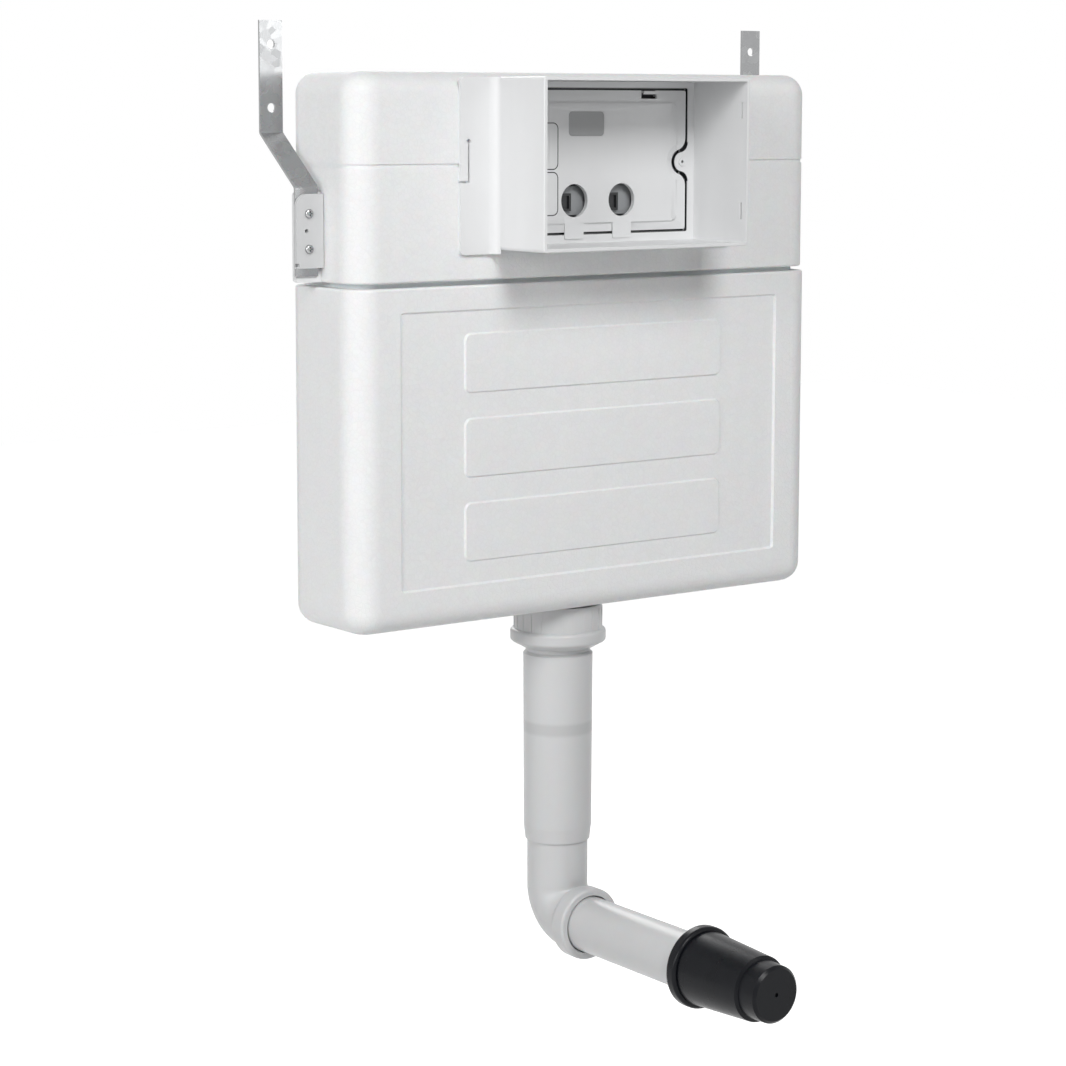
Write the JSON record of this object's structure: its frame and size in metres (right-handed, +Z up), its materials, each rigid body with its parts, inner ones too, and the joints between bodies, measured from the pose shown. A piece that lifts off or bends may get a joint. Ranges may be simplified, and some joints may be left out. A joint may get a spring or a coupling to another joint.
{
  "type": "toilet cistern",
  "caption": "Slim in-wall toilet cistern with foam jackets, front access box, wall straps, dual flush levers, flush pipe, bend and rubber end cap.",
  "frame": {"origin": "on the wall, amid the four wall fixing holes of the two straps", "axes": "+Z up, -Y out of the wall to the front, +X to the viewer's right"},
  "size_m": [0.504, 0.3195, 0.7588],
  "materials": {
    "foam": "soft matte foam",
    "white_plastic": "satin moulded",
    "inner_plastic": "satin moulded",
    "dark_plastic": "satin moulded",
    "coated_steel": "satin powder coat",
    "steel": "bright zinc",
    "brass": "turned",
    "nickel": "bright",
    "black_rubber": "satin rubber",
    "gasket_rubber": "soft",
    "grey_label": "matte film",
    "hose": "woven"
  },
  "bodies": {
    "tank": {"tank": "white_plastic", "upper_jacket": "foam", "lower_jacket": "foam", "access_box": "white_plastic", "access_gasket": "gasket_rubber", "left_bracket": "coated_steel", "right_bracket": "coated_steel", "left_clamp": "white_plastic", "right_clamp": "white_plastic", "bracket_screws": "steel", "lever_bridge": "inner_plastic", "lever_pin": "steel", "full_lever_spring": "steel", "half_lever_spring": "steel", "valve_basket": "inner_plastic", "basket_washer": "gasket_rubber", "back_nut": "inner_plastic", "outlet_nut": "white_plastic", "pipe_seal": "gasket_rubber", "flush_sleeve": "white_plastic", "sleeve_ring": "gasket_rubber", "inlet_tail": "brass", "inlet_washer": "gasket_rubber", "inlet_nut": "brass", "supply_pipe": "nickel", "stop_valve": "nickel", "fill_hose": "hose", "hose_nuts": "nickel", "fill_valve": "inner_plastic", "fill_bracket": "inner_plastic", "float_pin": "steel"},
    "splash_plate": {"splash_plate": "white_plastic", "blank_label": "grey_label"},
    "plate_catch": {"plate_catch": "white_plastic"},
    "full_lever": {"full_lever": "inner_plastic", "full_rod_socket": "dark_plastic"},
    "half_lever": {"half_lever": "inner_plastic", "half_rod_socket": "dark_plastic"},
    "flush_valve": {"overflow_tube": "inner_plastic", "valve_seal": "gasket_rubber", "full_lift_rod": "inner_plastic"},
    "half_lift": {"half_float": "inner_plastic", "half_lift_rod": "inner_plastic"},
    "float": {"float_cup": "inner_plastic", "float_rod": "inner_plastic"},
    "float_arm": {"float_arm": "dark_plastic"},
    "stop_handle": {"stop_handle": "dark_plastic"},
    "flush_bend": {"flush_bend": "white_plastic", "bend_seal": "gasket_rubber"},
    "flush_tail": {"flush_tail": "white_plastic"},
    "end_cap": {"end_cap": "black_rubber"}
  },
  "joints": [
    {"name": "splash_plate_out", "type": "slide", "parent": "tank", "child": "splash_plate", "axis": [0, -1, 0], "range_m": [0, 0.06]},
    {"name": "plate_catch_up", "type": "slide", "parent": "tank", "child": "plate_catch", "axis": [0, 0, 1], "range_m": [0, 0.0018], "stiffness_N_per_m": 900},
    {"name": "full_lever_press", "type": "hinge", "parent": "tank", "child": "full_lever", "pos_m": [0.0235, -0.076, -0.068], "axis": [1, 0, 0], "range_deg": [0, 12], "stiffness_Nm_per_rad": 0.3, "springref_deg": -5.73},
    {"name": "half_lever_press", "type": "hinge", "parent": "tank", "child": "half_lever", "pos_m": [-0.0235, -0.076, -0.068], "axis": [1, 0, 0], "range_deg": [0, 12], "stiffness_Nm_per_rad": 0.3, "springref_deg": -5.73},
    {"name": "flush_valve_lift", "type": "slide", "parent": "tank", "child": "flush_valve", "axis": [0, 0, 1], "range_m": [0, 0.0061]},
    {"name": "half_lift_rise", "type": "slide", "parent": "tank", "child": "half_lift", "axis": [0, 0, 1], "range_m": [0, 0.0061]},
    {"name": "float_rise", "type": "slide", "parent": "tank", "child": "float", "axis": [0, 0, 1], "range_m": [0, 0.008]},
    {"name": "float_arm_tilt", "type": "hinge", "parent": "tank", "child": "float_arm", "pos_m": [-0.104, -0.06, -0.05], "axis": [0, 1, 0], "range_deg": [0, 13.6]},
    {"name": "stop_handle_turn", "type": "hinge", "parent": "tank", "child": "stop_handle", "pos_m": [0.084, -0.07, -0.038], "axis": [0, -1, 0], "range_deg": [0, 90]},
    {"name": "flush_bend_down", "type": "slide", "parent": "tank", "child": "flush_bend", "axis": [0, 0, -1], "range_m": [0, 0.035]},
    {"name": "flush_tail_out", "type": "slide", "parent": "flush_bend", "child": "flush_tail", "axis": [0, -1, 0], "range_m": [0, 0.01]},
    {"name": "end_cap_off", "type": "slide", "parent": "flush_tail", "child": "end_cap", "axis": [0, -1, 0], "range_m": [0, 0.08]}
  ],
  "couplings": [
    {"joint": "full_lever_press", "follows": "flush_valve_lift", "rad_per_m": 33.9},
    {"joint": "half_lever_press", "follows": "half_lift_rise", "rad_per_m": 33.9},
    {"joint": "float_arm_tilt", "follows": "float_rise", "rad_per_m": 29.41}
  ]
}
